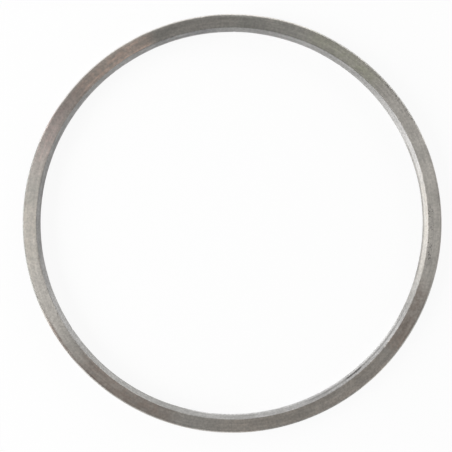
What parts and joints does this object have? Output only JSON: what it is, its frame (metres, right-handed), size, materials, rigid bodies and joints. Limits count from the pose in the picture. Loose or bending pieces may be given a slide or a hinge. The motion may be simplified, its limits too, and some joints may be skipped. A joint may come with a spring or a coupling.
{
  "type": "shim ring",
  "caption": "Flat narrow steel ring with chamfered outer edges that sits behind a bearing race and sets its axial play.",
  "frame": {"origin": "centre of the lower face, on the axis of the bore", "axes": "+Z along the axis of the ring, up from the face that it lies on"},
  "size_m": [0.1498, 0.1498, 0.004],
  "materials": {
    "steel": "fine turned and ground bare steel, with faint straw and brown stains"
  },
  "bodies": {
    "root": {"shim_ring": "steel"}
  },
  "joints": []
}
